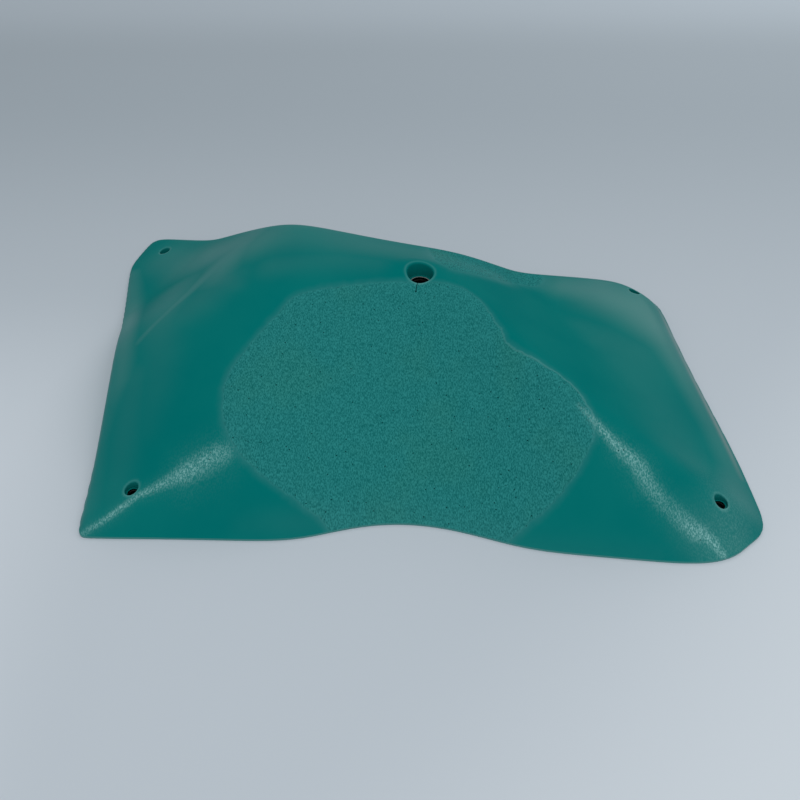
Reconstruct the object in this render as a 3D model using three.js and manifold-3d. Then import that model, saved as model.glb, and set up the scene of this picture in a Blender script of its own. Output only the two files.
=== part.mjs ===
import * as THREE from 'three';
import { mergeVertices } from 'three/addons/utils/BufferGeometryUtils.js';
import Module from 'manifold-3d';

// A large sculpted climbing hold, cast in one piece with a ribbed hollow back. It lies on its
// flat back: X runs along its length, Y from its lower edge to its upper edge, and Z away from
// the wall. The origin is the middle of the back. Sizes are in millimetres.

// Overall sizes of the casting
const LENGTH = 470;
const DEPTH = 371;
const CROWN = 102;
const LIP = 1.5;
const FOOT = 2.5;

// Roundings between the faces
const EDGE_BLEND = 5;
const MAIN_BLEND = 6;
const VALLEY_BLEND = 4;
const BROW_BLEND = 4;

// Hollow back
const WALL = 12;
const POCKET_LIP = 3;
const RIB = 10;
const BOLT_BOSS = 46;
const SCREW_BOSS = 24;

// Bolt hole: a counterbore for the bolt's head and a steel washer cast in below its floor
const BOLT_THROUGH = 11.5;
const BOLT_MOUTH = 18.5;
const BOLT_MOUTH_ROUND = 1.8;
const BOLT_SEAT_DEPTH = 10;
const BOLT_COVER = 1.6;
const BOLT_COVER_BORE = 13.6;
const BOLT_WASHER_OUTER = 26;
const BOLT_WASHER_THICKNESS = 2.5;

// Set screw holes: the same, but smaller
const SCREW_THROUGH = 6;
const SCREW_MOUTH = 9;
const SCREW_MOUTH_ROUND = 0.6;
const SCREW_SEAT_DEPTH = 4.5;
const SCREW_COVER = 1;
const SCREW_COVER_BORE = 7;
const SCREW_WASHER_OUTER = 12;
const SCREW_WASHER_THICKNESS = 1.2;

// Gap round and above a cast-in washer, and how far cuts run past the faces they open
const CLEARANCE = 0.3;
const OVERRUN = 2;

// Step to each side over which the skin's slope is measured
const SLOPE_STEP = 0.5;

// Counts of the surface grid
const OUTER_SPOKES = 112;
const OUTER_RINGS = 18;
const POCKET_SPOKES = 48;
const POCKET_RINGS = 7;
const FINE_SPOKES = 1440;
const HOLE_SIDES = 24;

// How closely the outline is found, as a share of the lip's height
const PRECISION_SHARE = 0.00001;

// Each face is a sheet that rises inwards from its foot. x and y place the foot, as shares of
// LENGTH and DEPTH. azimuth is the way the face looks, and slope how steeply it rises at its
// foot, in degrees. level is the run, as a share of LENGTH, in which the face bends to level,
// and bend bows it along its foot.
const faceShares = {
  edge: {
    frontLeft: { x: -0.298, y: -0.446, azimuth: -91, slope: 46, level: 1.32, bend: 0.14 },
    middle: { x: -0.023, y: -0.416, azimuth: -83, slope: 30.5, level: 1.87, bend: 2.07 },
    frontRight: { x: 0.307, y: -0.489, azimuth: -97, slope: 43.5, level: 1.28, bend: 0.24 },
    corner: { x: 0.534, y: -0.454, azimuth: -71.7, slope: 33, level: 0.94, bend: 0 },
    cornerTip: { x: 0.5, y: -0.42, azimuth: -18.7, slope: 45, level: 1.2, bend: 0 },
    rightSide: { x: 0.494, y: -0.206, azimuth: 6, slope: 49, level: 0.51, bend: 0.14 },
    backRight: { x: 0.458, y: 0.239, azimuth: 46, slope: 48, level: 1.15, bend: 0.66 },
    back: { x: 0, y: 0.365, azimuth: 79.5, slope: 48.5, level: 2.66, bend: 0.09 },
    backLeft: { x: -0.489, y: 0.468, azimuth: 165, slope: 48, level: 1.06, bend: 0.05 },
    leftSide: { x: -0.449, y: -0.05, azimuth: 188, slope: 75, level: 0.85, bend: 0.09 },
  },
  main: {
    flankLeft: { x: -0.389, y: -0.373, azimuth: 226, slope: 37, level: 0.5, bend: -1.27 },
    mainLeft: { x: -0.453, y: 0.225, azimuth: 159.5, slope: 37.5, level: 0.95, bend: 0.28 },
    top: { x: -0.145, y: 0.001, azimuth: 50, slope: 16, level: 0.92, bend: 2.96, foot: CROWN },
    flankRight: { x: 0.426, y: -0.142, azimuth: 20, slope: 34, level: 2.13, bend: -0.09 },
  },
  wing: {
    wing: { x: 0.547, y: -0.093, azimuth: -16, slope: 15.6, level: 0.334, bend: 0 },
    wingEnd: { x: 0.053, y: -0.09, azimuth: 180, slope: 45, level: 1.91, bend: 0 },
  },
  skirt: {
    leftSkirt: { x: -0.453, y: -0.317, azimuth: 186, slope: 15.5, level: 1.91, bend: 0 },
    skirtEnd: { x: -0.053, y: -0.314, azimuth: 0, slope: 40, level: 1.91, bend: 0 },
  },
};

// Places of the holes, as shares of LENGTH and DEPTH
const boltShare = { x: 0.041, y: 0.012 };
const screwShares = {
  front_left: { x: -0.349, y: -0.374 },
  front_right: { x: 0.432, y: -0.406 },
  back_left: { x: -0.44, y: 0.405 },
  back_right: { x: 0.423, y: 0.207 },
};

const wasm = await Module();
wasm.setup();

const rubber = { color: 0x0c6b69, roughness: 0.5, metalness: 0 };
const steel = { color: 0x8d8a88, roughness: 0.4, metalness: 1 };

// Height of one face over a point of the back
function faceHeight(face, x, y) {
  const azimuth = THREE.MathUtils.degToRad(face.azimuth);
  const dx = x - face.x * LENGTH;
  const dy = y - face.y * DEPTH;
  const along = dy * Math.cos(azimuth) - dx * Math.sin(azimuth);
  const inward = -dx * Math.cos(azimuth) - dy * Math.sin(azimuth);
  const level = face.level * LENGTH;
  const run = Math.min(inward + (face.bend * along * along) / LENGTH, level);
  const rise = Math.tan(THREE.MathUtils.degToRad(face.slope)) * run * (1 - run / (2 * level));
  return (face.foot ?? FOOT) + rise;
}

// Lowest of several heights, rounded where two of them cross
function blendLow(heights, blend) {
  const lowest = Math.min(...heights);
  const sum = heights.reduce((total, height) => total + Math.exp((lowest - height) / blend), 0);
  return lowest - blend * Math.log(sum);
}

// Highest of several heights, rounded in the same way
function blendHigh(heights, blend) {
  return -blendLow(heights.map((height) => -height), blend);
}

// Height of the hold's skin over a point of the back
function skinHeight(x, y) {
  const group = (faces, blend) =>
    blendLow(Object.values(faces).map((face) => faceHeight(face, x, y)), blend);
  const main = group(faceShares.main, MAIN_BLEND);
  const wing = group(faceShares.wing, MAIN_BLEND);
  const skirt = group(faceShares.skirt, MAIN_BLEND);
  const upper = blendHigh([main, wing, skirt], VALLEY_BLEND);
  return blendLow([group(faceShares.edge, EDGE_BLEND), upper], BROW_BLEND);
}

// Height of the hollow's ceiling, one wall below the skin and square to it
function ceilingHeight(x, y) {
  const slopeX = skinHeight(x + SLOPE_STEP, y) - skinHeight(x - SLOPE_STEP, y);
  const slopeY = skinHeight(x, y + SLOPE_STEP) - skinHeight(x, y - SLOPE_STEP);
  const steepness = Math.hypot(1, slopeX / (2 * SLOPE_STEP), slopeY / (2 * SLOPE_STEP));
  return skinHeight(x, y) - WALL * steepness;
}

// Point on a spoke, out from the centre, where a height has fallen to a level
function rimPoint(heightAt, level, angle) {
  const spoke = new THREE.Vector2(Math.cos(angle), Math.sin(angle));
  let inside = 0;
  let outside = LENGTH;
  while (outside - inside > PRECISION_SHARE * LIP) {
    const radius = (inside + outside) / 2;
    if (heightAt(spoke.x * radius, spoke.y * radius) > level) {
      inside = radius;
    } else {
      outside = radius;
    }
  }
  return spoke.multiplyScalar(inside);
}

// Points of an outline, spaced evenly along it but closer where it turns
function outlinePoints(heightAt, level, count) {
  const fine = Array.from({ length: FINE_SPOKES }, (_, index) =>
    rimPoint(heightAt, level, (2 * Math.PI * index) / FINE_SPOKES));
  const sides = fine.map((point, index) =>
    fine[(index + 1) % FINE_SPOKES].clone().sub(point));
  const perimeter = sides.reduce((total, side) => total + side.length(), 0);
  const weights = sides.map((side, index) => {
    const turn = Math.abs(Math.sin(side.angle() - sides.at(index - 1).angle()));
    return side.length() / perimeter + turn / (2 * Math.PI);
  });
  const total = weights.reduce((sum, weight) => sum + weight, 0);
  const chosen = [];
  let passed = 0;
  fine.forEach((point, index) => {
    if (passed >= (chosen.length * total) / count) {
      chosen.push(point);
    }
    passed += weights[index];
  });
  return chosen;
}

// Closed solid under a height: a fan of rings round the centre, an upright wall and a flat base
function domeGeometry(heightAt, level, base, spokes, rings) {
  const outline = outlinePoints(heightAt, level, spokes);
  const count = outline.length;
  const vertices = [new THREE.Vector3(0, 0, heightAt(0, 0))];
  for (let ring = 1; ring <= rings; ring += 1) {
    const share = ring / rings;
    for (const rim of outline) {
      const x = rim.x * share;
      const y = rim.y * share;
      vertices.push(new THREE.Vector3(x, y, ring === rings ? level : heightAt(x, y)));
    }
  }
  outline.forEach((rim) => vertices.push(new THREE.Vector3(rim.x, rim.y, base)));
  vertices.push(new THREE.Vector3(0, 0, base));

  // Square cells are split along the diagonal that lies nearer the surface
  const indices = [];
  const miss = (first, second) => {
    const middle = vertices[first].clone().add(vertices[second]).multiplyScalar(0.5);
    return Math.abs(heightAt(middle.x, middle.y) - middle.z);
  };
  const addCell = (inner, innerNext, outer, outerNext) => {
    if (miss(inner, outerNext) < miss(innerNext, outer)) {
      indices.push(inner, outer, outerNext, inner, outerNext, innerNext);
    } else {
      indices.push(inner, outer, innerNext, innerNext, outer, outerNext);
    }
  };
  for (let spoke = 0; spoke < count; spoke += 1) {
    const next = (spoke + 1) % count;
    indices.push(0, 1 + spoke, 1 + next);
    for (let ring = 0; ring < rings - 1; ring += 1) {
      const inner = 1 + ring * count;
      addCell(inner + spoke, inner + next, inner + count + spoke, inner + count + next);
    }
    const top = 1 + (rings - 1) * count;
    const low = top + count;
    indices.push(top + spoke, low + spoke, low + next, top + spoke, low + next, top + next);
    indices.push(low + next, low + spoke, low + count);
  }
  const geometry = new THREE.BufferGeometry().setFromPoints(vertices);
  geometry.setIndex(indices);
  return geometry;
}

// Solid made from a closed geometry
function solidOf(geometry) {
  geometry.deleteAttribute('normal');
  geometry.deleteAttribute('uv');
  const merged = mergeVertices(geometry);
  return new wasm.Manifold(new wasm.Mesh({
    numProp: 3,
    vertProperties: merged.attributes.position.array,
    triVerts: merged.index.array,
  }));
}

// Geometry of a finished solid
function geometryOf(solid) {
  const mesh = solid.getMesh();
  const geometry = new THREE.BufferGeometry();
  geometry.setAttribute('position', new THREE.BufferAttribute(mesh.vertProperties, 3));
  geometry.setIndex(new THREE.BufferAttribute(mesh.triVerts, 1));
  const faceted = geometry.toNonIndexed();
  faceted.computeVertexNormals();
  return faceted;
}

// Upright round bar at a place, between two heights
function bar(place, diameter, low, high) {
  const geometry = new THREE.CylinderGeometry(diameter / 2, diameter / 2, high - low, HOLE_SIDES);
  geometry.rotateX(Math.PI / 2);
  geometry.translate(place.x, place.y, (low + high) / 2);
  return solidOf(geometry);
}

// Rounded flare that opens a hole's mouth: its profile is a quarter circle
function flare(place, diameter, round, top) {
  const bore = diameter / 2;
  const profile = [new THREE.Vector2(0, top - round), new THREE.Vector2(bore, top - round)];
  for (const quarterShare of [0.33, 0.67, 1]) {
    const turn = (quarterShare * Math.PI) / 2;
    const out = bore + round * (1 - Math.cos(turn));
    profile.push(new THREE.Vector2(out, top - round * (1 - Math.sin(turn))));
  }
  profile.push(new THREE.Vector2(bore + round, top + OVERRUN), new THREE.Vector2(0, top + OVERRUN));
  const geometry = new THREE.LatheGeometry(profile, HOLE_SIDES);
  geometry.rotateX(Math.PI / 2);
  geometry.translate(place.x, place.y, 0);
  return solidOf(geometry);
}

// Everything that a hole needs, with its heights worked out from the skin above it
function holeAt(share, sizes) {
  const place = { x: share.x * LENGTH, y: share.y * DEPTH };
  const skin = skinHeight(place.x, place.y);
  const seat = skin - sizes.seatDepth;
  const washerTop = seat - sizes.cover;
  const washerBase = washerTop - sizes.washerThickness;
  return { ...sizes, place, skin, seat, washerTop, washerBase };
}

// The hole's cut: through bore, counterbore, mouth, and the slot that holds the washer
function holeCut(hole) {
  return bar(hole.place, hole.through, -OVERRUN, hole.washerBase + OVERRUN)
    .add(bar(hole.place, hole.coverBore, hole.washerBase, hole.seat + CLEARANCE))
    .add(bar(hole.place, hole.mouth, hole.seat, CROWN))
    .add(flare(hole.place, hole.mouth, hole.round, hole.skin))
    .add(bar(hole.place, hole.washerOuter + 2 * CLEARANCE, hole.washerBase,
      hole.washerTop + CLEARANCE));
}

// Rib of the hollow back, from the bolt's boss to a set screw's boss
function rib(from, to) {
  const run = Math.hypot(to.x - from.x, to.y - from.y);
  const geometry = new THREE.BoxGeometry(run, RIB, CROWN + 2 * OVERRUN);
  geometry.rotateZ(Math.atan2(to.y - from.y, to.x - from.x));
  geometry.translate((from.x + to.x) / 2, (from.y + to.y) / 2, CROWN / 2);
  return solidOf(geometry);
}

// The casting
function holdBody(bolt, screws) {
  const skin = solidOf(domeGeometry(skinHeight, LIP, 0, OUTER_SPOKES, OUTER_RINGS));
  const hollow = domeGeometry(ceilingHeight, POCKET_LIP, -OVERRUN, POCKET_SPOKES, POCKET_RINGS);
  let pockets = solidOf(hollow).subtract(bar(bolt.place, BOLT_BOSS, -2 * OVERRUN, CROWN));
  for (const screw of screws) {
    pockets = pockets.subtract(bar(screw.place, SCREW_BOSS, -2 * OVERRUN, CROWN));
    pockets = pockets.subtract(rib(bolt.place, screw.place));
  }
  const holes = [bolt, ...screws].map(holeCut);
  return geometryOf(holes.reduce((body, cut) => body.subtract(cut), skin.subtract(pockets)));
}

// Flat steel ring
function washerGeometry(hole) {
  const inner = hole.through / 2;
  const outer = hole.washerOuter / 2;
  const profile = [
    new THREE.Vector2(inner, 0),
    new THREE.Vector2(outer, 0),
    new THREE.Vector2(outer, hole.washerThickness),
    new THREE.Vector2(inner, hole.washerThickness),
    new THREE.Vector2(inner, 0),
  ];
  const geometry = new THREE.LatheGeometry(profile, HOLE_SIDES);
  geometry.rotateX(Math.PI / 2);
  return geometry;
}

function addMesh(group, name, geometry, look) {
  const mesh = new THREE.Mesh(geometry, new THREE.MeshStandardMaterial(look));
  mesh.name = name;
  group.add(mesh);
  return mesh;
}

function addWasher(group, name, hole) {
  const mesh = addMesh(group, name, washerGeometry(hole), steel);
  mesh.position.set(hole.place.x, hole.place.y, hole.washerBase);
}

const bolt = holeAt(boltShare, {
  through: BOLT_THROUGH,
  mouth: BOLT_MOUTH,
  round: BOLT_MOUTH_ROUND,
  seatDepth: BOLT_SEAT_DEPTH,
  cover: BOLT_COVER,
  coverBore: BOLT_COVER_BORE,
  washerOuter: BOLT_WASHER_OUTER,
  washerThickness: BOLT_WASHER_THICKNESS,
});
const screwSizes = {
  through: SCREW_THROUGH,
  mouth: SCREW_MOUTH,
  round: SCREW_MOUTH_ROUND,
  seatDepth: SCREW_SEAT_DEPTH,
  cover: SCREW_COVER,
  coverBore: SCREW_COVER_BORE,
  washerOuter: SCREW_WASHER_OUTER,
  washerThickness: SCREW_WASHER_THICKNESS,
};
const screws = Object.entries(screwShares).map(([name, share]) => ({
  name,
  ...holeAt(share, screwSizes),
}));

const hold = new THREE.Group();
addMesh(hold, 'hold_body', holdBody(bolt, screws), rubber);
addWasher(hold, 'bolt_washer', bolt);
for (const screw of screws) {
  addWasher(hold, `set_screw_washer_${screw.name}`, screw);
}

export default hold;
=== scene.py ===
import math

import bpy
import numpy as np
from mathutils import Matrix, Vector


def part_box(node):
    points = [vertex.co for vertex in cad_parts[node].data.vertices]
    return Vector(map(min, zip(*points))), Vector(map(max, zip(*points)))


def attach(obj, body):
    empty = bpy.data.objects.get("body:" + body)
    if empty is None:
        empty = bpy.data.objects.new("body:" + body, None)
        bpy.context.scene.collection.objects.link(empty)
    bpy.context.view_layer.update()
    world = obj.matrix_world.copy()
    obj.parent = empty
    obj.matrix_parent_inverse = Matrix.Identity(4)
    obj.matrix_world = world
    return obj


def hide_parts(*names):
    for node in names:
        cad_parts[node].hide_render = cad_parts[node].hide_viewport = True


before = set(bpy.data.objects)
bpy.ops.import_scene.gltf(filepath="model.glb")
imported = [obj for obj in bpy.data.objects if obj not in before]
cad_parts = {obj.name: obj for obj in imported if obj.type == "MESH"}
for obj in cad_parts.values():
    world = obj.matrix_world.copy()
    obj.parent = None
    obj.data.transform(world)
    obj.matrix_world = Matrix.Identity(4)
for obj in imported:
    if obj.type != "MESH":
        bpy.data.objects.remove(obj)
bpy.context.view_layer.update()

# A large sculpted climbing hold on a pale sheet. The frame gives the places of the holes and
# the overall box; the skin follows the same faces as the frame's solid, with a finer surface.
# Sizes are in metres.

MM = 0.001

# Overall sizes of the casting, as in the frame's solid
LENGTH = 470 * MM
DEPTH = 371 * MM
CROWN = 102 * MM
LIP = 1.5 * MM
FOOT = 2.5 * MM
EDGE_BLEND = 5 * MM
MAIN_BLEND = 6 * MM
VALLEY_BLEND = 4 * MM
BROW_BLEND = 4 * MM

# Hollow back
WALL = 12 * MM
POCKET_LIP = 3 * MM
RIB = 10 * MM
BOLT_BOSS = 46 * MM
SCREW_BOSS = 24 * MM

# Holes: widths, and depths below the skin at the hole's middle
BOLT_THROUGH = 11.5 * MM
BOLT_MOUTH = 18.5 * MM
BOLT_ROUND = 2 * MM
BOLT_SEAT_DEPTH = 10 * MM
BOLT_COVER = 1.6 * MM
BOLT_COVER_BORE = 13.6 * MM
SCREW_THROUGH = 6 * MM
SCREW_MOUTH = 9 * MM
SCREW_ROUND = 1 * MM
SCREW_SEAT_DEPTH = 4.5 * MM
SCREW_COVER = 1 * MM
SCREW_COVER_BORE = 7 * MM
SCREW_NAMES = ["front_left", "front_right", "back_left", "back_right"]
WASHER_BEVEL = 0.2 * MM
CLEARANCE = 0.3 * MM
OVERRUN = 2 * MM
LEDGE = 0.1 * MM

# Lean of the skin towards the front around the bolt hole, as a rise over run at its middle
BOLT_LEAN_SHARE = 0.36
BOLT_LEAN_REACH = 15 * MM

# Hairline crack in front of the bolt hole, with a small pit at its end
CRACK_SHARES = [(0.037, -0.013), (0.035, -0.024), (0.034, -0.035)]
CRACK_WIDTH = 0.5 * MM
CRACK_DEPTH = 1.5 * MM
CRACK_PIT = 1.5 * MM

# Fineness of the surface
CELL = 1.3 * MM
POCKET_CELL = 4 * MM
SPARE_CELLS = 8
OUTLINE_STEPS = 1440
OUTLINE_ERROR = LIP / 1000
LOOP_STEPS = 6
HOLE_SIDES = 96
ARC_STEPS = 8
SLOPE_STEP = 0.5 * MM
CASTING_SHARP_ANGLE = math.radians(32)
WASHER_SHARP_ANGLE = math.radians(30)
# Keeps an outline's level runs from being divided by nothing
TINY = 1e-12

# The faces: foot as shares of LENGTH and DEPTH, azimuth and slope in degrees, level as a share
# of LENGTH, bend along the foot, and the foot's height where it isn't FOOT
FACE_SHARES = {
    "edge": [
        dict(x=-0.298, y=-0.446, azimuth=-91, slope=46, level=1.32, bend=0.14),
        dict(x=-0.023, y=-0.416, azimuth=-83, slope=30.5, level=1.87, bend=2.07),
        dict(x=0.307, y=-0.489, azimuth=-97, slope=43.5, level=1.28, bend=0.24),
        dict(x=0.534, y=-0.454, azimuth=-71.7, slope=33, level=0.94, bend=0),
        dict(x=0.5, y=-0.42, azimuth=-18.7, slope=45, level=1.2, bend=0),
        dict(x=0.494, y=-0.206, azimuth=6, slope=49, level=0.51, bend=0.14),
        dict(x=0.458, y=0.239, azimuth=46, slope=48, level=1.15, bend=0.66),
        dict(x=0, y=0.365, azimuth=79.5, slope=48.5, level=2.66, bend=0.09),
        dict(x=-0.489, y=0.468, azimuth=165, slope=48, level=1.06, bend=0.05),
        dict(x=-0.449, y=-0.05, azimuth=188, slope=75, level=0.85, bend=0.09),
    ],
    "main": [
        dict(x=-0.389, y=-0.373, azimuth=226, slope=37, level=0.5, bend=-1.27),
        dict(x=-0.453, y=0.225, azimuth=159.5, slope=37.5, level=0.95, bend=0.28),
        dict(x=-0.145, y=0.001, azimuth=50, slope=16, level=0.92, bend=2.96, foot=CROWN),
        dict(x=0.426, y=-0.142, azimuth=20, slope=34, level=2.13, bend=-0.09),
    ],
    "wing": [
        dict(x=0.547, y=-0.093, azimuth=-16, slope=15.6, level=0.334, bend=0),
        dict(x=0.053, y=-0.09, azimuth=180, slope=45, level=1.91, bend=0),
    ],
    "skirt": [
        dict(x=-0.453, y=-0.317, azimuth=186, slope=15.5, level=1.91, bend=0),
        dict(x=-0.053, y=-0.314, azimuth=0, slope=40, level=1.91, bend=0),
    ],
}

# Outlines of the two grained patches, as shares of LENGTH and DEPTH
FRONT_PATCH_SHARES = [
    (-0.231, -0.257), (-0.227, -0.213), (-0.2, -0.157), (-0.162, -0.088), (-0.136, -0.049),
    (-0.071, -0.024), (0.011, -0.014), (0.07, -0.019), (0.121, -0.048), (0.149, -0.121),
    (0.164, -0.164), (0.197, -0.198), (0.247, -0.252), (0.267, -0.319), (0.245, -0.372),
    (0.203, -0.421), (0.148, -0.46), (0.12, -0.52), (-0.06, -0.52), (-0.085, -0.43),
    (-0.122, -0.402), (-0.172, -0.369), (-0.201, -0.345), (-0.223, -0.309),
]
BACK_PATCH_SHARES = [
    (0.058, 0.16), (0.062, 0.11), (0.066, 0.078), (0.078, 0.055), (0.096, 0.048),
    (0.121, 0.07), (0.151, 0.096), (0.183, 0.122), (0.215, 0.162), (0.245, 0.188),
    (0.262, 0.215), (0.262, 0.255), (0.235, 0.3), (0.18, 0.34), (0.12, 0.35), (0.065, 0.28),
]
# How sharply the back patch ends, against the front one
BACK_PATCH_SHARPNESS_SHARE = 0.5

# Strokes on the skin. Each point has its place as shares of LENGTH and DEPTH, the stroke's half
# width there in millimetres, and its strength from 0 to 1. First the wear with a painted
# highlight along the two front creases and, fainter, between the right front hole and the lip
LEFT_CREASE = [
    (-0.407, -0.442, 1.6, 0.6), (-0.379, -0.425, 1.8, 0.8), (-0.359, -0.409, 2, 1),
    (-0.337, -0.391, 2, 0.9), (-0.294, -0.374, 4, 0.8), (-0.273, -0.365, 6, 1),
    (-0.252, -0.356, 6.5, 0.85), (-0.233, -0.348, 6.5, 0.75), (-0.222, -0.345, 5.5, 0.6),
]
RIGHT_CREASE = [
    (0.249, -0.285, 1.5, 0.4), (0.261, -0.302, 2, 0.6), (0.272, -0.316, 2.5, 0.9),
    (0.287, -0.336, 3, 1), (0.299, -0.351, 4, 1), (0.316, -0.366, 4.5, 1),
    (0.325, -0.379, 5, 0.9), (0.331, -0.394, 5, 0.8), (0.349, -0.419, 5, 0.5),
    (0.36, -0.43, 5, 0.5), (0.374, -0.443, 5, 0.7), (0.389, -0.454, 5, 1),
    (0.403, -0.459, 4.5, 1), (0.414, -0.468, 4, 1), (0.424, -0.485, 3, 0.9),
]
RIGHT_CORNER = [
    (0.43, -0.34, 16, 0.06), (0.445, -0.41, 18, 0.14), (0.44, -0.45, 16, 0.2),
    (0.415, -0.48, 13, 0.2),
]
# The faint halo of each worn, painted-highlight stroke, against the stroke itself
HALO_SHARE = 0.13
HALO_REACH_SHARE = 2.2

# Painted highlight: a pale line where the right side turns down to its lip
PAINTED_EDGE_HIGHLIGHT = [
    (0.458, 0.217, 2.2, 0.3), (0.4675, 0.173, 2.4, 0.6), (0.47, 0.129, 2.6, 0.9),
    (0.4715, 0.085, 2.6, 0.8), (0.473, 0.043, 2.6, 0.7), (0.475, 0, 2.6, 0.7),
    (0.478, -0.065, 2.4, 0.9), (0.4825, -0.155, 2.2, 1), (0.4875, -0.253, 2, 0.8),
    (0.4895, -0.32, 1.8, 0.3),
]

# Where the smooth skin shines: the right side and the flank beside it, the left back with its
# ridge, the flank below it, the left side, the slope behind the front patch, the right front
# corner, and the foot of the front
SHINY_STROKES = [
    [(0.3, 0.2, 13, 0.45), (0.36, 0.18, 20, 0.6), (0.41, 0.14, 22, 0.68), (0.44, 0.08, 19, 0.68),
     (0.455, 0.02, 15, 0.5), (0.465, -0.09, 11, 0.36), (0.475, -0.2, 9, 0.32),
     (0.48, -0.3, 9, 0.3), (0.47, -0.41, 14, 0.4), (0.4, -0.46, 16, 0.3)],
    [(0.32, 0.05, 14, 0.03), (0.35, 0.02, 18, 0.06), (0.39, -0.02, 24, 0.08),
     (0.4, -0.12, 26, 0.05), (0.41, -0.22, 26, 0.045), (0.4, -0.32, 20, 0.05)],
    [(-0.42, 0.36, 20, 0.27), (-0.37, 0.3, 20, 0.24), (-0.31, 0.24, 20, 0.28),
     (-0.25, 0.21, 20, 0.33), (-0.27, 0.1, 14, 0.24), (-0.27, 0.04, 12, 0.18),
     (-0.24, 0, 10, 0.12)],
    [(-0.25, 0.19, 16, 0.34), (-0.29, 0.1, 9, 0.22), (-0.318, 0.042, 5, 0.21),
     (-0.333, 0.014, 4, 0.3), (-0.35, -0.014, 3.5, 0.34), (-0.37, -0.045, 3, 0.34),
     (-0.386, -0.069, 3, 0.22)],
    [(-0.36, 0.12, 18, 0.1), (-0.35, 0, 16, 0.13), (-0.345, -0.06, 15, 0.14),
     (-0.335, -0.13, 15, 0.13), (-0.335, -0.2, 15, 0.12), (-0.34, -0.27, 13, 0.08)],
    [(-0.24, 0.02, 14, 0.07), (-0.286, -0.03, 16, 0.13), (-0.33, -0.06, 14, 0.1)],
    [(-0.49, 0.33, 7, 0.22), (-0.478, 0.262, 7, 0.34), (-0.465, 0.192, 7, 0.34),
     (-0.455, 0.148, 7, 0.28), (-0.437, 0.071, 7, 0.33), (-0.424, 0.01, 7, 0.42),
     (-0.406, -0.1, 8, 0.48), (-0.402, -0.15, 9, 0.45), (-0.41, -0.2, 9, 0.2),
     (-0.43, -0.27, 12, 0.35), (-0.42, -0.43, 14, 0.4)],
    [(-0.375, -0.16, 12, 0.15), (-0.373, -0.28, 13, 0.17), (-0.37, -0.4, 13, 0.1)],
    [(-0.2, 0.15, 24, 0.25), (-0.1, 0.13, 24, 0.2), (0.003, 0.12, 20, 0.12),
     (0.1, 0.1, 12, 0.06), (0.17, 0.13, 9, 0.08)],
    [(-0.18, 0.03, 12, 0.16), (-0.09, 0.03, 13, 0.16), (-0.03, 0.02, 10, 0.12)],
    [(0.465, -0.4, 8, 0.2), (0.46, -0.445, 8, 0.42), (0.445, -0.468, 8, 0.5),
     (0.425, -0.483, 8, 0.35)],
    [(-0.2, -0.435, 6, 0.05), (-0.13, -0.43, 9, 0.12), (0, -0.41, 14, 0.1),
     (0.1, -0.44, 14, 0.1), (0.17, -0.48, 11, 0.13), (0.26, -0.49, 10, 0.11),
     (0.34, -0.49, 7, 0.06)],
]

# Painted highlight of a pale ring round each mouth: its half width, its place on the rounding,
# and its strength behind the hole against that in front
MOUTH_RING = 0.75 * MM
MOUTH_ROUND_SHARE = 0.7
MOUTH_BACK_SHARE = 0.4


def node_middle(node):
    """Middle of a frame node's box, seen from above."""
    low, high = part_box(node)
    return ((low[0] + high[0]) / 2, (low[1] + high[1]) / 2)


BOLT_PLACE = node_middle("bolt_washer")


# Heights of the skin and of the hollow

def face_height(face, x, y):
    """Height of one face over points of the back."""
    azimuth = math.radians(face["azimuth"])
    dx = x - face["x"] * LENGTH
    dy = y - face["y"] * DEPTH
    along = dy * math.cos(azimuth) - dx * math.sin(azimuth)
    inward = -dx * math.cos(azimuth) - dy * math.sin(azimuth)
    level = face["level"] * LENGTH
    run = np.minimum(inward + face["bend"] * along ** 2 / LENGTH, level)
    rise = math.tan(math.radians(face["slope"])) * run * (1 - run / (2 * level))
    return face.get("foot", FOOT) + rise


def blend_low(heights, blend):
    """Lowest of several heights, rounded where two of them cross."""
    stack = np.stack(heights)
    lowest = stack.min(axis=0)
    return lowest - blend * np.log(np.exp((lowest - stack) / blend).sum(axis=0))


def blend_high(heights, blend):
    """Highest of several heights, rounded in the same way."""
    return -blend_low([-height for height in heights], blend)


def skin_height(x, y):
    """Height of the hold's skin over points of the back."""
    def group(name, blend):
        return blend_low([face_height(face, x, y) for face in FACE_SHARES[name]], blend)
    upper = blend_high([group(name, MAIN_BLEND) for name in ("main", "wing", "skirt")],
                       VALLEY_BLEND)
    skin = blend_low([group("edge", EDGE_BLEND), upper], BROW_BLEND)
    dx, dy = x - BOLT_PLACE[0], y - BOLT_PLACE[1]
    return skin + BOLT_LEAN_SHARE * dy * np.exp(-(dx ** 2 + dy ** 2) / BOLT_LEAN_REACH ** 2)


def ceiling_height(x, y):
    """Height of the hollow's ceiling, one wall below the skin and square to it."""
    step = SLOPE_STEP
    slope_x = (skin_height(x + step, y) - skin_height(x - step, y)) / (2 * step)
    slope_y = (skin_height(x, y + step) - skin_height(x, y - step)) / (2 * step)
    return skin_height(x, y) - WALL * np.sqrt(1 + slope_x ** 2 + slope_y ** 2)


def outline(height_at, level):
    """Points where a height falls to a level, all round the middle."""
    angles = np.linspace(0, 2 * math.pi, OUTLINE_STEPS, endpoint=False)
    inside = np.zeros(OUTLINE_STEPS)
    outside = np.full(OUTLINE_STEPS, LENGTH)
    while (outside - inside).max() > OUTLINE_ERROR:
        radius = (inside + outside) / 2
        above = height_at(radius * np.cos(angles), radius * np.sin(angles)) > level
        inside = np.where(above, radius, inside)
        outside = np.where(above, outside, radius)
    return np.stack([inside * np.cos(angles), inside * np.sin(angles)], axis=1)


# Distances and shares on the skin

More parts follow.
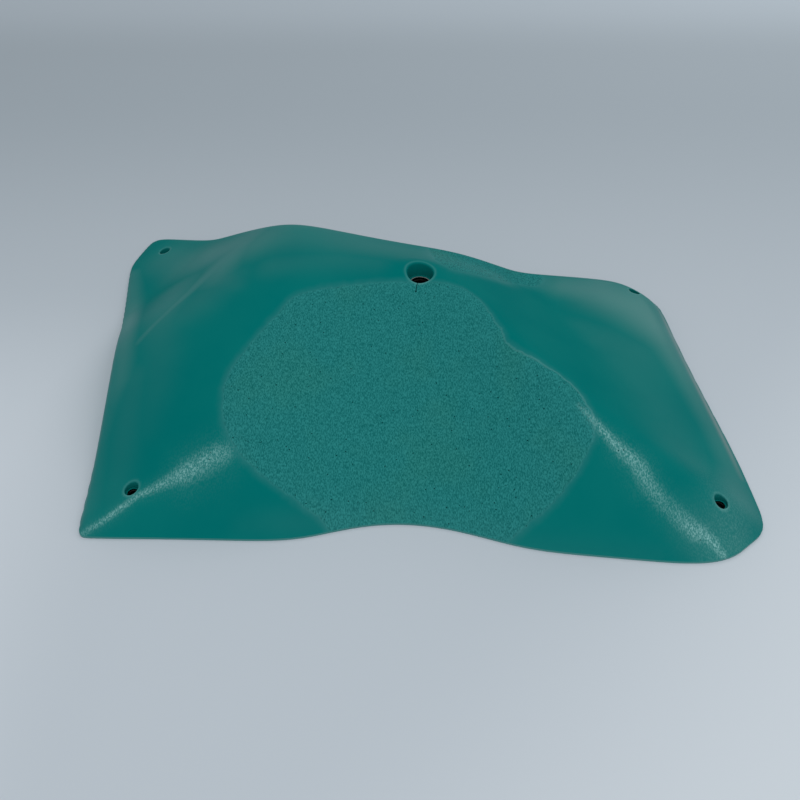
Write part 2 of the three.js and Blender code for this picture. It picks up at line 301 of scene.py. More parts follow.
def smooth_loop(shares):
    """Closed smooth curve through points given as shares of LENGTH and DEPTH."""
    points = np.array(shares) * [LENGTH, DEPTH]
    before, after, beyond = (np.roll(points, steps, 0) for steps in (1, -1, -2))
    curve = []
    for t in np.linspace(0, 1, LOOP_STEPS, endpoint=False):
        curve.append(0.5 * (2 * points + (after - before) * t
                            + (2 * before - 5 * points + 4 * after - beyond) * t ** 2
                            + (3 * points - before - 3 * after + beyond) * t ** 3))
    return np.stack(curve, axis=1).reshape(-1, 2)


def segment_distance(x, y, start, end):
    """Distance of points from a segment, and how far along it each one lies, from 0 to 1."""
    run = end - start
    share = np.clip(((x - start[0]) * run[0] + (y - start[1]) * run[1]) / (run @ run), 0, 1)
    return np.hypot(x - start[0] - share * run[0], y - start[1] - share * run[1]), share


def inside_depth(x, y, shares):
    """How far points lie inside the smooth loop of some shares, negative outside it."""
    loop = smooth_loop(shares)
    nearest = np.full(x.shape, LENGTH)
    inside = np.zeros(x.shape, dtype=bool)
    for start, end in zip(loop, np.roll(loop, -1, 0)):
        nearest = np.minimum(nearest, segment_distance(x, y, start, end)[0])
        crosses = (start[1] > y) != (end[1] > y)
        reach = (end[0] - start[0]) * (y - start[1]) / (end[1] - start[1] + TINY) + start[0]
        inside ^= crosses & (x < reach)
    return np.where(inside, nearest, -nearest)


def stroke_share(x, y, stroke):
    """Strength of a stroke at points of the skin, from 0 to 1."""
    total = np.zeros(x.shape)
    for (x1, y1, width1, strength1), (x2, y2, width2, strength2) in zip(stroke, stroke[1:]):
        start = np.array([x1 * LENGTH, y1 * DEPTH])
        end = np.array([x2 * LENGTH, y2 * DEPTH])
        distance, share = segment_distance(x, y, start, end)
        width = (width1 * (1 - share) + width2 * share) * MM
        strength = strength1 * (1 - share) + strength2 * share
        total = np.maximum(total, strength * np.exp(-(distance / width) ** 2))
    return total


def strokes_share(x, y, strokes):
    """Strength of the strongest of several strokes."""
    return np.max([stroke_share(x, y, stroke) for stroke in strokes], axis=0)


def widened(stroke):
    """The faint halo around a stroke."""
    return [(x, y, width * HALO_REACH_SHARE, strength * HALO_SHARE)
            for x, y, width, strength in stroke]


def mouth_highlight_share(x, y, hole):
    """Strength of the painted highlight ring round a hole's mouth, from 0 to 1."""
    radius = np.hypot(x - hole["place"][0], y - hole["place"][1])
    in_front = np.clip((hole["place"][1] - y) / np.maximum(radius, MM), 0, 1)
    away = radius - hole["mouth"] - MOUTH_ROUND_SHARE * hole["round"]
    ring = np.exp(-(away / MOUTH_RING) ** 2)
    return ring * (MOUTH_BACK_SHARE + (1 - MOUTH_BACK_SHARE) * in_front ** 2)


# Meshes

def mesh_object(name, vertices, faces):
    """Object made from vertices and faces, linked to the scene."""
    mesh = bpy.data.meshes.new(name)
    mesh.from_pydata([tuple(map(float, vertex)) for vertex in vertices], [], faces)
    mesh.update()
    obj = bpy.data.objects.new(name, mesh)
    bpy.context.scene.collection.objects.link(obj)
    return obj


def vertex_array(mesh):
    """Places of a mesh's vertices, one row each."""
    flat = np.empty(len(mesh.vertices) * 3, dtype=np.float32)
    mesh.vertices.foreach_get("co", flat)
    return flat.reshape(-1, 3).astype(float)


def move_vertices(mesh, points):
    """Puts a mesh's vertices at new places."""
    mesh.vertices.foreach_set("co", points.astype(np.float32).ravel())


def store_shares(mesh, name, domain, values):
    """Keeps one number for each point or face of a mesh, for its material."""
    attribute = mesh.attributes.new(name, "FLOAT", domain)
    attribute.data.foreach_set("value", values.astype(np.float32))


def height_block(name, height_at, floor, low, cell):
    """Closed block over the whole back whose top follows a height, never below floor."""
    columns = math.ceil(LENGTH / cell) + SPARE_CELLS
    rows = math.ceil(DEPTH / cell) + SPARE_CELLS
    xs = (np.arange(columns + 1) - columns / 2) * cell
    ys = (np.arange(rows + 1) - rows / 2) * cell
    x, y = np.meshgrid(xs, ys, indexing="ij")
    z = np.maximum(height_at(x, y), floor)
    top = np.stack([x, y, z], axis=-1).reshape(-1, 3)
    at = np.arange(top.shape[0]).reshape(columns + 1, rows + 1)
    quads = np.stack([at[:-1, :-1], at[1:, :-1], at[1:, 1:], at[:-1, 1:]], axis=-1)
    rim = np.concatenate([at[:-1, 0], at[-1, :-1], at[:0:-1, -1], at[0, :0:-1]])
    base = top[rim] * [1, 1, 0] + [0, 0, low]
    lower = len(top) + np.arange(len(rim))
    after = np.roll(np.arange(len(rim)), -1)
    sides = np.stack([rim, lower, lower[after], rim[after]], axis=-1)
    faces = quads.reshape(-1, 4).tolist() + sides.tolist() + [lower[::-1].tolist()]
    return mesh_object(name, np.concatenate([top, base]), faces)


def prism(name, loop, low, high):
    """Closed upright prism over an outline."""
    count = len(loop)
    vertices = [(x, y, low) for x, y in loop] + [(x, y, high) for x, y in loop]
    faces = [list(range(count))[::-1], list(range(count, 2 * count))]
    for index in range(count):
        after = (index + 1) % count
        faces.append([index, after, count + after, count + index])
    return mesh_object(name, vertices, faces)


def turned_points(place, ring):
    """Points of a profile turned about an upright axis, one copy of the profile per side."""
    points = []
    for side in range(HOLE_SIDES):
        angle = 2 * math.pi * side / HOLE_SIDES
        for radius, z in ring:
            points.append((place[0] + radius * math.cos(angle),
                           place[1] + radius * math.sin(angle), z))
    return points


def lathe(name, place, profile):
    """Closed turned piece about an upright axis; its profile starts and ends on the axis."""
    ring = profile[1:-1]
    count = len(ring)
    ends = [(place[0], place[1], profile[0][1]), (place[0], place[1], profile[-1][1])]
    faces = []
    for side in range(HOLE_SIDES):
        this = len(ends) + side * count
        after = len(ends) + (side + 1) % HOLE_SIDES * count
        faces.append([0, after, this])
        faces.append([1, this + count - 1, after + count - 1])
        for step in range(count - 1):
            faces.append([this + step, after + step, after + step + 1, this + step + 1])
    return mesh_object(name, ends + turned_points(place, ring), faces)


def cut(obj, tool, operation="DIFFERENCE"):
    """Cuts or trims obj with a closed tool, which is then removed."""
    modifier = obj.modifiers.new("cut", "BOOLEAN")
    modifier.operation = operation
    modifier.solver = "MANIFOLD"
    modifier.object = tool
    graph = bpy.context.evaluated_depsgraph_get()
    mesh = bpy.data.meshes.new_from_object(obj.evaluated_get(graph))
    obj.modifiers.remove(modifier)
    obj.data = mesh
    bpy.data.objects.remove(tool)


# The casting and its washers

def hole_at(node, sizes):
    """A hole's place and heights, worked out from its washer in the frame."""
    low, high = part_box(node)
    washer_top = high[2]
    seat = washer_top + sizes["cover"]
    return dict(sizes, place=node_middle(node), outer=(high[0] - low[0]) / 2,
                washer_base=low[2], washer_top=washer_top, seat=seat,
                skin=seat + sizes["seat_depth"])


BOLT_SIZES = dict(through=BOLT_THROUGH / 2, mouth=BOLT_MOUTH / 2, round=BOLT_ROUND,
                  seat_depth=BOLT_SEAT_DEPTH, cover=BOLT_COVER, cover_bore=BOLT_COVER_BORE / 2)
SCREW_SIZES = dict(through=SCREW_THROUGH / 2, mouth=SCREW_MOUTH / 2, round=SCREW_ROUND,
                   seat_depth=SCREW_SEAT_DEPTH, cover=SCREW_COVER,
                   cover_bore=SCREW_COVER_BORE / 2)


def hole_tool(hole):
    """The whole cut of one hole, turned in one piece."""
    pocket, pocket_top = hole["outer"] + CLEARANCE, hole["washer_top"] + CLEARANCE
    profile = [(0, -OVERRUN), (hole["through"], -OVERRUN), (hole["through"], hole["washer_base"]),
               (pocket, hole["washer_base"]), (pocket, pocket_top),
               (hole["cover_bore"], pocket_top), (hole["cover_bore"], hole["seat"]),
               (hole["mouth"], hole["seat"])]
    for step in range(ARC_STEPS + 1):
        turn = math.pi / 2 * step / ARC_STEPS
        profile.append((hole["mouth"] + hole["round"] * (1 - math.cos(turn)),
                        hole["skin"] - hole["round"] * (1 - math.sin(turn))))
    profile.append((hole["mouth"] + hole["round"], CROWN))
    profile.append((0, CROWN))
    tool = lathe("hole_tool", hole["place"], profile)

    # The rounded mouth follows the slope of the skin around it
    points = vertex_array(tool.data)
    x, y, z = points.T
    mouth = (z > hole["seat"] + LEDGE) & (z < CROWN - LEDGE)
    least = hole["seat"] + LEDGE * (1 + (z - hole["seat"]) / CROWN)
    points[:, 2] = np.where(mouth, np.maximum(z + skin_height(x, y) - hole["skin"], least), z)
    move_vertices(tool.data, points)
    return tool


def bar_tool(place, diameter, low, high):
    """Upright round bar."""
    radius = diameter / 2
    return lathe("bar_tool", place, [(0, low), (radius, low), (radius, high), (0, high)])


def rib_tool(start, end):
    """Upright wall from one place to another, as thick as a rib."""
    start, end = Vector(start), Vector(end)
    run = end - start
    side = Vector((-run.y, run.x)).normalized() * RIB / 2
    corners = [start - side, end - side, end + side, start + side]
    return prism("rib_tool", [tuple(corner) for corner in corners], -2 * OVERRUN, CROWN)


def cut_pockets(body, bolt, screws):
    """Hollows the back, but for the bosses and the ribs between them."""
    low = -2 * OVERRUN
    pockets = height_block("pockets", ceiling_height, POCKET_LIP, -OVERRUN, POCKET_CELL)
    cut(pockets, prism("rim_tool", outline(ceiling_height, POCKET_LIP), low, CROWN), "INTERSECT")
    cut(pockets, bar_tool(bolt["place"], BOLT_BOSS, low, CROWN))
    for screw in screws:
        cut(pockets, bar_tool(screw["place"], SCREW_BOSS, low, CROWN))
        cut(pockets, rib_tool(bolt["place"], screw["place"]))
    cut(body, pockets)


def cut_crack(body):
    """Cuts the hairline crack, and the pit at its end."""
    points = [Vector((x * LENGTH, y * DEPTH)) for x, y in CRACK_SHARES]
    for start, end in zip(points, points[1:]):
        side = Vector((start.y - end.y, end.x - start.x)).normalized() * CRACK_WIDTH / 2
        corners = [start - side, end - side, end + side, start + side]
        low = float(skin_height(end.x, end.y)) - CRACK_DEPTH
        cut(body, prism("crack", [tuple(corner) for corner in corners], low, CROWN))
    cut(body, bar_tool(tuple(end), CRACK_PIT, low, CROWN))


def fit_to_frame(body):
    """Keeps the finer surface within the frame solid's box."""
    low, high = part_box("hold_body")
    move_vertices(body.data, np.clip(vertex_array(body.data), np.array(low), np.array(high)))


def mark_skin(body, holes):
    """Marks each point: how far it lies inside a patch, its wear with painted highlight, its
    shine and so on, with the painted highlights of the mouth rings and the right edge.
    """
    x, y, z = vertex_array(body.data).T
    on_skin = np.clip(1 - (skin_height(x, y) - z) / LIP, 0, 1)
    back_depth = inside_depth(x, y, BACK_PATCH_SHARES) * BACK_PATCH_SHARPNESS_SHARE
    depth = np.maximum(inside_depth(x, y, FRONT_PATCH_SHARES), back_depth)
    # The creases carry wear and a painted highlight; the mouth rings and the right edge are
    # painted highlights
    worn_highlight_strokes = [LEFT_CREASE, RIGHT_CREASE, RIGHT_CORNER]
    wear_and_highlight = strokes_share(x, y, worn_highlight_strokes + [widened(stroke) for stroke in worn_highlight_strokes])
    mouth = np.max([mouth_highlight_share(x, y, hole) for hole in holes], axis=0)
    shares = dict(patch_depth=depth, wear_and_highlight=wear_and_highlight * on_skin, skin=on_skin,
                  shine=strokes_share(x, y, SHINY_STROKES), mouth=mouth * on_skin,
                  edge_highlight=stroke_share(x, y, PAINTED_EDGE_HIGHLIGHT) * on_skin)
    for name, values in shares.items():
        store_shares(body.data, name, "POINT", values)


def mark_bores(body, holes):
    """Marks each face below the floor of a counterbore, for painted shade inside the holes."""
    centres = np.empty(3 * len(body.data.polygons))
    body.data.polygons.foreach_get("center", centres)
    x, y, z = centres.reshape(-1, 3).T
    bore = np.zeros(x.shape)
    for hole in holes:
        radius = np.hypot(x - hole["place"][0], y - hole["place"][1])
        bore[(radius < hole["outer"] + 2 * CLEARANCE) & (z < hole["seat"] - LEDGE)] = 1
    store_shares(body.data, "bore", "FACE", bore)


def make_casting(bolt, screws):
    """The one-piece hold: skin, hollow back, holes and crack."""
    body = height_block("hold_casting", skin_height, LIP, 0, CELL)
    cut(body, prism("edge_tool", outline(skin_height, LIP), -OVERRUN, CROWN), "INTERSECT")
    cut_pockets(body, bolt, screws)
    for hole in [bolt] + screws:
        cut(body, hole_tool(hole))
    cut_crack(body)
    fit_to_frame(body)
    mark_skin(body, [bolt] + screws)
    mark_bores(body, [bolt] + screws)
    body.data.shade_smooth()
    body.data.set_sharp_from_angle(angle=CASTING_SHARP_ANGLE)
    return body


def make_washer(name, node, hole):
    """Flat ring with slightly rounded corners, in place of the frame's faceted one."""
    bevel = WASHER_BEVEL
    inner, outer = hole["through"], hole["outer"]
    low, high = hole["washer_base"], hole["washer_top"]
    ring = [(inner + bevel, low), (outer - bevel, low),
            (outer, low + bevel), (outer, high - bevel),
            (outer - bevel, high), (inner + bevel, high),
            (inner, high - bevel), (inner, low + bevel)]
    count = len(ring)
    faces = []
    for side in range(HOLE_SIDES):
        this, after = side * count, (side + 1) % HOLE_SIDES * count
        for step in range(count):
            up = (step + 1) % count
            faces.append([this + step, after + step, after + up, this + up])
    washer = mesh_object(name, turned_points(hole["place"], ring), faces)
    washer.data.shade_smooth()
    washer.data.set_sharp_from_angle(angle=WASHER_SHARP_ANGLE)
    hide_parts(node)
    return washer


# Materials

class Nodes:
    """Short calls for building a material's node tree."""

    def __init__(self, name):
        self.material = bpy.data.materials.new(name)
        self.material.use_nodes = True
        self.tree = self.material.node_tree
        self.shader = self.tree.nodes["Principled BSDF"]

    def add(self, kind, **values):
        """New node with some of its settings."""
        node = self.tree.nodes.new(kind)
        for key, value in values.items():
            setattr(node, key, value)
        return node

    def link(self, output, socket):
        """Links a node's output to a socket."""
        self.tree.links.new(output, socket)

    def fill(self, socket, value):
        """Links a node's output to a socket, or sets the socket to a plain value."""
        if isinstance(value, bpy.types.NodeSocket):
            self.link(value, socket)
        else:
            socket.default_value = value

    def shade(self, **values):
        """Fills sockets of the shader; an underscore stands for a space in their names."""
        for key, value in values.items():
            self.fill(self.shader.inputs[key.replace("_", " ")], value)

    def place(self, stretch=(1, 1, 1)):
        """Place on the part, pressed together along an axis by its stretch."""
        place = self.add("ShaderNodeTexCoord").outputs["Object"]
        if tuple(stretch) == (1, 1, 1):
            return place
        node = self.add("ShaderNodeVectorMath", operation="MULTIPLY")
        self.link(place, node.inputs[0])
        node.inputs[1].default_value = stretch
        return node.outputs["Vector"]

    def away_from(self, middle):
        """Distance from an upright line through a place."""
        node = self.add("ShaderNodeVectorMath", operation="DISTANCE")
        self.link(self.place(stretch=(1, 1, 0)), node.inputs[0])
        node.inputs[1].default_value = (*middle, 0)
        return node.outputs["Value"]

    def normal(self):
        """Direction of the surface, without bump."""
        return self.add("ShaderNodeNewGeometry").outputs["True Normal"]

    def split(self, vector):
        """The X, Y and Z of a vector."""
        node = self.add("ShaderNodeSeparateXYZ")
        self.link(vector, node.inputs[0])
        return node.outputs

    def noise(self, size, detail, roughness=0.5, stretch=(1, 1, 1)):
        """Noise whose grains are about size across."""
        node = self.add("ShaderNodeTexNoise")
        self.link(self.place(stretch), node.inputs["Vector"])
        for key, amount in (("Scale", 1 / size), ("Detail", detail), ("Roughness", roughness)):
            node.inputs[key].default_value = amount
        return node.outputs["Fac"]

    def cells(self, size, output="Distance"):
        """Distance from the middles of cells about size across, or a colour for each cell."""
        node = self.add("ShaderNodeTexVoronoi")
        self.link(self.place(), node.inputs["Vector"])
        node.inputs["Scale"].default_value = 1 / size
        return node.outputs[output]

    def math(self, operation, *values):
        """Result of one operation on values or outputs."""
        node = self.add("ShaderNodeMath", operation=operation)
        for socket, value in zip(node.inputs, values):
            self.fill(socket, value)
        return node.outputs[0]

    def times(self, first, *others):
        """Product of several values."""
        for other in others:
            first = self.math("MULTIPLY", first, other)
        return first

    def ramp(self, value, low, high, start=0.0, end=1.0):
        """Smooth step of a value from low to high."""
        node = self.add("ShaderNodeMapRange", interpolation_type="SMOOTHSTEP")
        for key, amount in (("Value", value), ("From Min", low), ("From Max", high),
                            ("To Min", start), ("To Max", end)):
            self.fill(node.inputs[key], amount)
        return node.outputs["Result"]

    def mix(self, share, first, second, blend="MIX"):
        """Mixes a share of the second colour into the first."""
        node = self.add("ShaderNodeMix", data_type="RGBA", blend_type=blend)
        self.fill(node.inputs["Factor"], share)
        self.fill(node.inputs["A"], first)
        self.fill(node.inputs["B"], second)
        return node.outputs["Result"]

    def attribute(self, name):
        """A share kept on the mesh."""
        return self.add("ShaderNodeAttribute", attribute_name=name).outputs["Fac"]

    def bump(self, height, distance, normal=None):
        """Surface direction bent by a height, on top of another bump."""
        node = self.add("ShaderNodeBump")
        self.link(height, node.inputs["Height"])
        node.inputs["Distance"].default_value = distance
        if normal is not None:
            self.link(normal, node.inputs["Normal"])
        return node.outputs["Normal"]


# Colours of the casting
SMOOTH_TEAL = (0.0, 0.168, 0.161, 1)
SMOOTH_DULL = (0.002, 0.178, 0.168, 1)
GRAIN_DARK = (0.007, 0.142, 0.139, 1)
GRAIN_LIGHT = (0.028, 0.254, 0.248, 1)
GRAIN_MIDDLE = (0.0175, 0.190, 0.187, 1)
OLIVE_TINT = (1.15, 1.0, 0.95, 1)
PIT_TEAL = (0.0008, 0.055, 0.055, 1)
WEAR_AND_HIGHLIGHT_TEAL = (0.30, 0.61, 0.59, 1)
WALL_PAINTED_LIGHT_TEAL = (0.07, 0.27, 0.26, 1)
EDGE_HIGHLIGHT_GREY = (0.15, 0.24, 0.24, 1)
RIM_HIGHLIGHT_GREY = (0.24, 0.27, 0.26, 1)
BORE_PAINTED_SHADE = (0.001, 0.006, 0.006, 1)

# Noises: the ragged border of the patches, their grain, the fine roughness of all skin, the
# olive clouds on the grain, the duller clouds on the smooth skin, and the speckle on the worn
# creases with their painted highlight
BORDER_NOISE = dict(size=9 * MM, detail=4, roughness=0.6)
GRAIN_NOISE = dict(size=1.5 * MM, detail=1.5, roughness=0.6, stretch=(2.5, 1, 1))
FINE_NOISE = dict(size=0.9 * MM, detail=1)
OLIVE_NOISE = dict(size=45 * MM, detail=3)
DULL_NOISE = dict(size=60 * MM, detail=4)
SPECKLE_NOISE = dict(size=1.5 * MM, detail=2.5, roughness=0.65, stretch=(2, 1, 1))
PIT_CELLS = 3.6 * MM
DOT_CELLS = 2.6 * MM

# Ramps over those noises and cells, from where they start to where they end
GRAIN_RAMP = (0.32, 0.68)
OLIVE_RAMP = (0.45, 0.7)
DULL_RAMP = (0.35, 0.65)
SPECKLE_RAMP = (0.40, 0.66)
PIT_RAMP = (0.14, 0.09)
PIT_PICK_RAMP = (0.57, 0.65)
DOT_RAMP = (0.3, 0.15)

# Around a patch's border, by depth inside it: how far the border wanders, where the grain and
# the paler tint begin, and the width of the pale line
BORDER_WANDER = 5 * MM
GRAIN_BAND = (-0.8 * MM, 1.0 * MM)
TINT_BAND = (-5.5 * MM, 1.5 * MM)
LINE_BAND = (1.2 * MM, 0.2 * MM)
LINE_MIX = 0.015
# The pale line is stronger along the right of the front patch
RIGHT_LINE_MIX = 0.09
RIGHT_LINE_X = (0.1 * LENGTH, 0.2 * LENGTH)
RIGHT_LINE_FRONT_Y = (-0.36 * DEPTH, -0.28 * DEPTH)
RIGHT_LINE_BACK_Y = (0, -0.08 * DEPTH)

# The dark dots, which only the back patch has, the speckle's spread and least share on the
# worn creases with their painted highlight, and the strength of the painted highlight rings round
# the mouths
DOT_Y = (0, 0.06 * DEPTH)
DOT_MIX = 0.75
SPECKLE_MIX = 0.65
SPECKLE_LEAST = 0.12
MOUTH_HIGHLIGHT_MIX = 0.24

# Painted light on the lip's upright wall, which lifts its shade near the floor, by the skin's
# upward share and by height, and the painted highlight rim at the floor of the bolt's
# counterbore, by distance outside its bore and height above it
WALL_UPWARD = (0.35, 0.15)
WALL_HEIGHT = (1.2 * LIP, LIP)
RIM_REACH = (0.8 * MM, 0.56 * MM)
RIM_HEIGHT = (1.0 * MM, 0.5 * MM)

# Gloss and relief
SMOOTH_ROUGHNESS = 0.42
GRAIN_ROUGHNESS = 0.58
SHINE_RANGE = 0.5
SHINE_LEAST = 0.002
WEAR_RELIEF = 0.7
PIT_RELIEF = -2.0
FINE_BUMP = 0.01 * MM
GRAIN_BUMP = 0.12 * MM


def border_line(nodes, depth, place):
    """Share of the pale line along the patches' borders."""
    on_right = nodes.times(nodes.ramp(place["X"], *RIGHT_LINE_X),
                           nodes.ramp(place["Y"], *RIGHT_LINE_FRONT_Y),
                           nodes.ramp(place["Y"], *RIGHT_LINE_BACK_Y))
    return nodes.times(nodes.ramp(nodes.math("ABSOLUTE", depth), *LINE_BAND),
                       nodes.math("MULTIPLY_ADD", on_right, RIGHT_LINE_MIX, LINE_MIX))


def rim_highlight_share(nodes, place, bolt):
    """Share of the painted highlight rim round the bolt's bore, at the floor of its counterbore.
    """
    reach = [bolt["cover_bore"] + away for away in RIM_REACH]
    height = [bolt["seat"] + above for above in RIM_HEIGHT]
    return nodes.times(nodes.ramp(nodes.away_from(bolt["place"]), *reach),
                       nodes.ramp(place["Z"], *height))


def hold_material(bolt):
    """Cast polyurethane: smooth flanks, grained patches with pits, pale worn creases with a
    painted highlight, and painted highlights and shade at the edges and holes.
    """
    nodes = Nodes("hold_plastic")
    place = nodes.split(nodes.place())
    skin = nodes.attribute("skin")
    wear_and_highlight = nodes.attribute("wear_and_highlight")
    wander = nodes.math("MULTIPLY_ADD", nodes.noise(**BORDER_NOISE),
                        BORDER_WANDER, -BORDER_WANDER / 2)
    depth = nodes.math("ADD", nodes.attribute("patch_depth"), wander)
    grain_share = nodes.times(nodes.ramp(depth, *GRAIN_BAND), skin)
    line = nodes.times(border_line(nodes, depth, place), skin)
    grain = nodes.noise(**GRAIN_NOISE)
    pit = nodes.times(nodes.ramp(nodes.cells(PIT_CELLS), *PIT_RAMP),
                      nodes.ramp(nodes.cells(PIT_CELLS, "Color"), *PIT_PICK_RAMP),
                      nodes.math("MAXIMUM", grain_share, wear_and_highlight))

    smooth = nodes.mix(nodes.ramp(nodes.noise(**DULL_NOISE), *DULL_RAMP),
                       SMOOTH_TEAL, SMOOTH_DULL)
    smooth = nodes.mix(nodes.times(nodes.ramp(depth, *TINT_BAND), skin), smooth, GRAIN_MIDDLE)
    grained = nodes.mix(nodes.ramp(grain, *GRAIN_RAMP), GRAIN_DARK, GRAIN_LIGHT)
    grained = nodes.mix(nodes.ramp(nodes.noise(**OLIVE_NOISE), *OLIVE_RAMP),
                        grained, OLIVE_TINT, "MULTIPLY")
    dots = nodes.times(nodes.ramp(nodes.cells(DOT_CELLS), *DOT_RAMP),
                       nodes.ramp(place["Y"], *DOT_Y), DOT_MIX)
    grained = nodes.mix(dots, grained, PIT_TEAL)
    colour = nodes.mix(grain_share, smooth, grained)
    colour = nodes.mix(line, colour, WEAR_AND_HIGHLIGHT_TEAL)
    speckle = nodes.math("MULTIPLY_ADD", nodes.ramp(nodes.noise(**SPECKLE_NOISE), *SPECKLE_RAMP),
                         SPECKLE_MIX, SPECKLE_LEAST)
    # Pale worn creases: partly wear, partly a painted highlight
    colour = nodes.mix(nodes.times(speckle, wear_and_highlight), colour, WEAR_AND_HIGHLIGHT_TEAL)
    # Painted highlight: pale ring round each hole's mouth
    colour = nodes.mix(nodes.times(nodes.attribute("mouth"), MOUTH_HIGHLIGHT_MIX), colour, WEAR_AND_HIGHLIGHT_TEAL)
    colour = nodes.mix(pit, colour, PIT_TEAL)
    # Painted light: the lip's upright wall made paler to lift its shade near the floor
    wall = nodes.times(nodes.ramp(nodes.split(nodes.normal())["Z"], *WALL_UPWARD),
                       nodes.ramp(place["Z"], *WALL_HEIGHT))
    colour = nodes.mix(wall, colour, WALL_PAINTED_LIGHT_TEAL)
    # Painted highlight along the right edge
    colour = nodes.mix(nodes.attribute("edge_highlight"), colour, EDGE_HIGHLIGHT_GREY)
    # Painted highlight: pale rim at the floor of the bolt's counterbore
    colour = nodes.mix(rim_highlight_share(nodes, place, bolt), colour, RIM_HIGHLIGHT_GREY)
    # Painted shade: faces inside the holes made nearly black
    colour = nodes.mix(nodes.attribute("bore"), colour, BORE_PAINTED_SHADE)

    shine = nodes.math("MULTIPLY_ADD", nodes.attribute("shine"), SHINE_RANGE, SHINE_LEAST)
    roughened = nodes.math("MAXIMUM", grain_share, nodes.times(wear_and_highlight, WEAR_RELIEF))
    relief = nodes.math("MULTIPLY_ADD", pit, PIT_RELIEF, nodes.times(grain, roughened))
    relief = nodes.math("ADD", line, relief)
    normal = nodes.bump(nodes.noise(**FINE_NOISE), FINE_BUMP)
    nodes.shade(Base_Color=colour, Specular_IOR_Level=shine,
                Roughness=nodes.ramp(grain_share, 0, 1, SMOOTH_ROUGHNESS, GRAIN_ROUGHNESS),
                Normal=nodes.bump(relief, GRAIN_BUMP, normal))
    return nodes.material


# Steel of the washers painted dark as shade in the holes, with dull spots
STEEL_PAINTED_SHADE = (0.035, 0.033, 0.032, 1)
STEEL_SPOT = (0.016, 0.015, 0.014, 1)
SPOT_NOISE = dict(size=1.5 * MM, detail=3)
SPOT_RAMP = (0.35, 0.7)
SPOT_ROUGHNESS_RAMP = (0.3, 0.7, 0.45, 0.65)
STEEL_NOISE = dict(size=0.4 * MM, detail=2)
STEEL_BUMP = 0.02 * MM


def steel_material():
    """Steel painted dark as shade in the holes, with dull spots."""
    nodes = Nodes("washer_steel")
    spots = nodes.noise(**SPOT_NOISE)
    nodes.shade(Base_Color=nodes.mix(nodes.ramp(spots, *SPOT_RAMP), STEEL_PAINTED_SHADE, STEEL_SPOT),
                Roughness=nodes.ramp(spots, *SPOT_ROUGHNESS_RAMP), Metallic=1.0,
                Normal=nodes.bump(nodes.noise(**STEEL_NOISE), STEEL_BUMP))
    return nodes.material


# Pale sheet under the hold, with painted light and shade: darker towards the back, paler at both
# front corners. Each ramp runs along Y, along X - Y for the right, or along both X and Y for the
# left
SHEET_HALF = 3.0
SHEET_DROP = 0.1 * MM
SHEET_NEAR = (0.565, 0.630, 0.690, 1)
SHEET_FAR = (0.393, 0.455, 0.505, 1)
SHEET_END = (0.47, 0.54, 0.60, 1)
SHEET_RIGHT = (0.68, 0.745, 0.80, 1)
SHEET_LEFT = (0.635, 0.700, 0.760, 1)
SHEET_FAR_RAMP = (-0.22, 0.55)
SHEET_END_RAMP = (0.68, 0.95)
SHEET_RIGHT_RAMP = (0.25, 0.55)
SHEET_LEFT_X_RAMP = (-0.16, -0.27)
SHEET_LEFT_Y_RAMP = (0.12, -0.12)
SHEET_ROUGHNESS = 0.7
SHEET_SPECULAR = 0.1


def sheet_material():
    """Matt pale sheet whose colour carries an uneven background of painted light and shade."""
    nodes = Nodes("pale_sheet")
    place = nodes.split(nodes.place())
    colour = nodes.mix(nodes.ramp(place["Y"], *SHEET_FAR_RAMP), SHEET_NEAR, SHEET_FAR)
    colour = nodes.mix(nodes.ramp(place["Y"], *SHEET_END_RAMP), colour, SHEET_END)
    near_right = nodes.math("SUBTRACT", place["X"], place["Y"])
    colour = nodes.mix(nodes.ramp(near_right, *SHEET_RIGHT_RAMP), colour, SHEET_RIGHT)
    near_left = nodes.times(nodes.ramp(place["X"], *SHEET_LEFT_X_RAMP),
                            nodes.ramp(place["Y"], *SHEET_LEFT_Y_RAMP))
    colour = nodes.mix(near_left, colour, SHEET_LEFT)
    nodes.shade(Base_Color=colour, Roughness=SHEET_ROUGHNESS, Specular_IOR_Level=SHEET_SPECULAR)
    return nodes.material


# Floor, light and camera

def make_floor():
    """The sheet, a hair below the hold."""
    half = SHEET_HALF
    corners = [(-half, -half, 0), (half, -half, 0), (half, half, 0), (-half, half, 0)]
    floor = mesh_object("floor", corners, [[0, 1, 2, 3]])
    floor.location.z = -SHEET_DROP
    floor.data.materials.append(sheet_material())


# Lamps by place, side length and watts
FRONT_LAMP = dict(place=(0.2, -0.8, 1.5), size=2.2, energy=11)
BACK_LAMP = dict(place=(0.95, 1.3, 0.9), size=1.2, energy=4.5)
SURROUND_COLOUR = (0.97, 0.985, 1.0, 1)
SURROUND_STRENGTH = 0.55


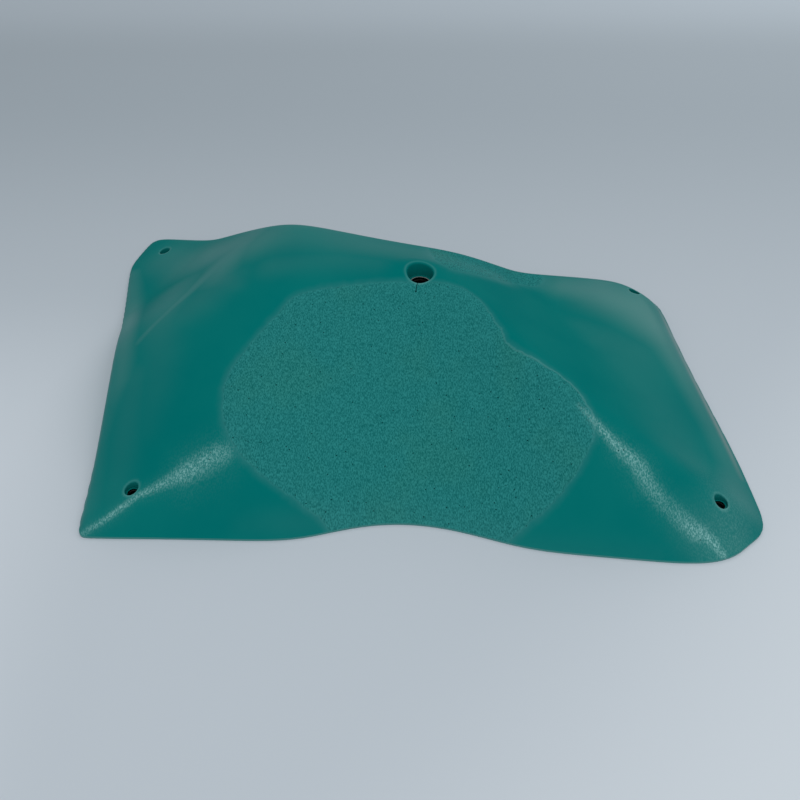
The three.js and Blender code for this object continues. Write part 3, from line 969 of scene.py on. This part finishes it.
def make_lamp(name, place, size, energy):
    """Broad soft lamp that faces the hold."""
    lamp = bpy.data.lights.new(name, "AREA")
    lamp.shape = "SQUARE"
    lamp.size = size
    lamp.energy = energy
    holder = bpy.data.objects.new(name, lamp)
    holder.location = place
    holder.rotation_euler = (-Vector(place)).to_track_quat("-Z", "Y").to_euler()
    bpy.context.scene.collection.objects.link(holder)


def make_light():
    """A broad lamp above the front, a weaker one behind at the right, and an even surround."""
    make_lamp("front", **FRONT_LAMP)
    make_lamp("back", **BACK_LAMP)
    world = bpy.data.worlds.new("surround")
    world.use_nodes = True
    background = world.node_tree.nodes["Background"]
    background.inputs["Color"].default_value = SURROUND_COLOUR
    background.inputs["Strength"].default_value = SURROUND_STRENGTH
    bpy.context.scene.world = world


# Where the photograph was taken from, found from the hold's outline
CAMERA_PLACE = (5 * MM, -476.5 * MM, 395 * MM)
CAMERA_PITCH = math.radians(42)
CAMERA_SENSOR_MM = 36
PHOTO_WIDTH_PIXELS = 800
FOCAL_PIXELS = 802


def make_camera():
    """The photograph's camera."""
    camera = bpy.data.cameras.new("camera")
    camera.sensor_width = CAMERA_SENSOR_MM
    camera.lens = CAMERA_SENSOR_MM * FOCAL_PIXELS / PHOTO_WIDTH_PIXELS
    holder = bpy.data.objects.new("camera", camera)
    holder.location = CAMERA_PLACE
    holder.rotation_euler = (math.pi / 2 - CAMERA_PITCH, 0, 0)
    bpy.context.scene.collection.objects.link(holder)
    bpy.context.scene.camera = holder


bolt = hole_at("bolt_washer", BOLT_SIZES)
screws = [hole_at(f"set_screw_washer_{name}", SCREW_SIZES) for name in SCREW_NAMES]

casting = make_casting(bolt, screws)
casting.data.materials.clear()
casting.data.materials.append(hold_material(bolt))
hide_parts("hold_body")
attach(casting, "root")

steel = steel_material()
washer_nodes = ["bolt_washer"] + [f"set_screw_washer_{name}" for name in SCREW_NAMES]
for node, hole in zip(washer_nodes, [bolt] + screws):
    washer = make_washer(f"{node}_ring", node, hole)
    washer.data.materials.append(steel)
    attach(washer, "root")

make_floor()
make_light()
make_camera()
bpy.context.scene.view_settings.view_transform = "Standard"
